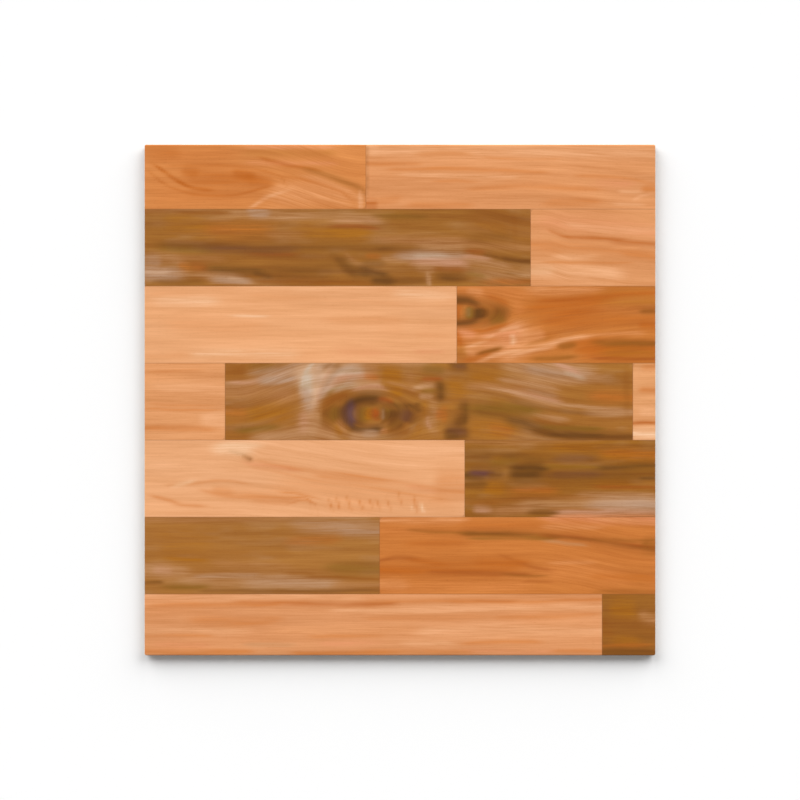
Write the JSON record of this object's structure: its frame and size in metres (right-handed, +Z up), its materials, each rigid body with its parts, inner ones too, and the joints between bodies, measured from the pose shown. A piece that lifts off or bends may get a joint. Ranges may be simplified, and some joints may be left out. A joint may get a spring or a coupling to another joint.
{
  "type": "ceramic floor tile",
  "caption": "Square glazed ceramic floor tile with a wood-strip pattern printed on its face, rounded arrises, and a grid of ribs and shallow cells pressed into its back.",
  "frame": {"origin": "middle of the underside, on the plane of the back's ribs and border, where the tile rests", "axes": "+Z up, out of the glazed face; the printed strips run along X, and +Y points to the top of the picture"},
  "size_m": [0.45, 0.45, 0.0085],
  "materials": {
    "glazed_tile": "satin"
  },
  "bodies": {
    "root": {"floor_tile": "glazed_tile"}
  },
  "joints": []
}
